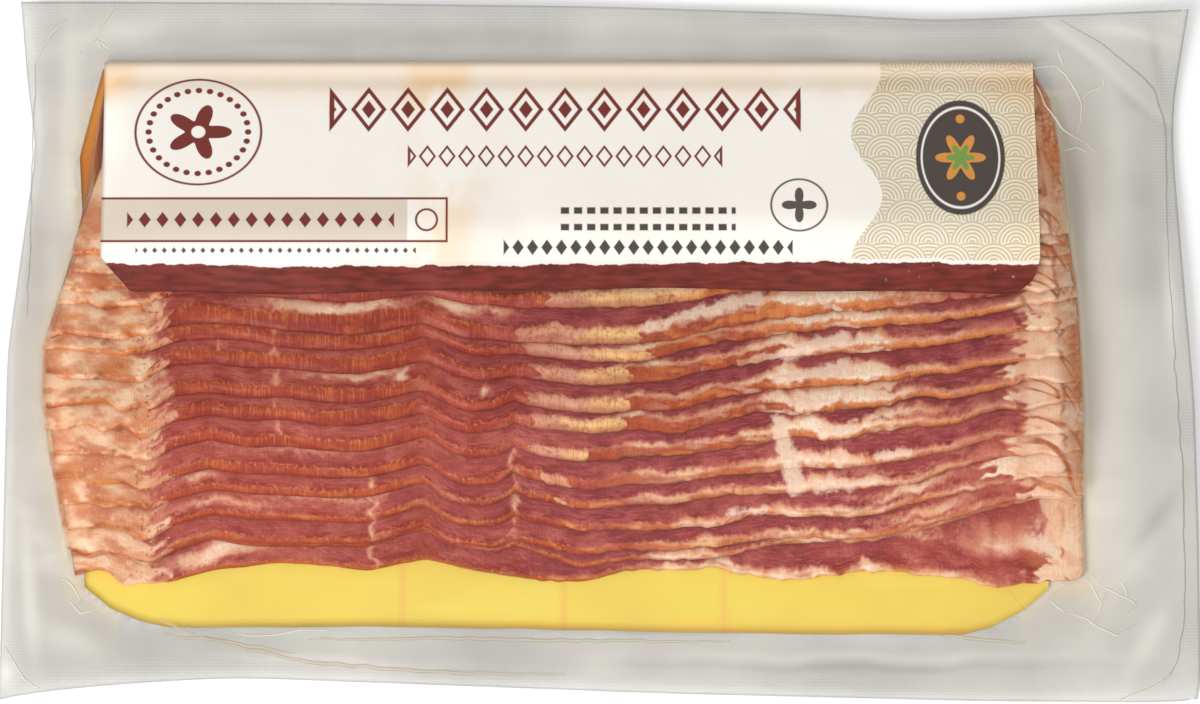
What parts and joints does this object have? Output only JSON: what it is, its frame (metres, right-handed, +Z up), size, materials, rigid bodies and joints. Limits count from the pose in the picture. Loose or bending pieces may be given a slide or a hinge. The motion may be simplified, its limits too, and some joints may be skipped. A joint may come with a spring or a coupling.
{
  "type": "bacon pack",
  "caption": "Vacuum pack of shingled bacon slices on a folded label card, sealed in a clear film bag with a flat margin.",
  "frame": {"origin": "middle of the bag's outline, on the surface the pack lies on", "axes": "+X along the slices, to the right as the label is seen; +Y towards the card's fold; +Z up, out of the label's face"},
  "size_m": [0.2762, 0.1614, 0.0203],
  "materials": {
    "film": "clear greyish film, glossy, with a fine crossed knurl in its sealed margin",
    "card": "coated card: yellow inside, printed white label outside, satin",
    "bacon": "cured meat with cream fat, moist under the film"
  },
  "bodies": {
    "root": {"film_bag": "film", "label_card": "card", "bacon_slice_01": "bacon", "bacon_slice_02": "bacon", "bacon_slice_03": "bacon", "bacon_slice_04": "bacon", "bacon_slice_05": "bacon", "bacon_slice_06": "bacon", "bacon_slice_07": "bacon", "bacon_slice_08": "bacon", "bacon_slice_09": "bacon", "bacon_slice_10": "bacon", "bacon_slice_11": "bacon", "bacon_slice_12": "bacon", "bacon_slice_13": "bacon", "bacon_slice_14": "bacon", "bacon_slice_15": "bacon", "bacon_slice_16": "bacon"}
  },
  "joints": []
}
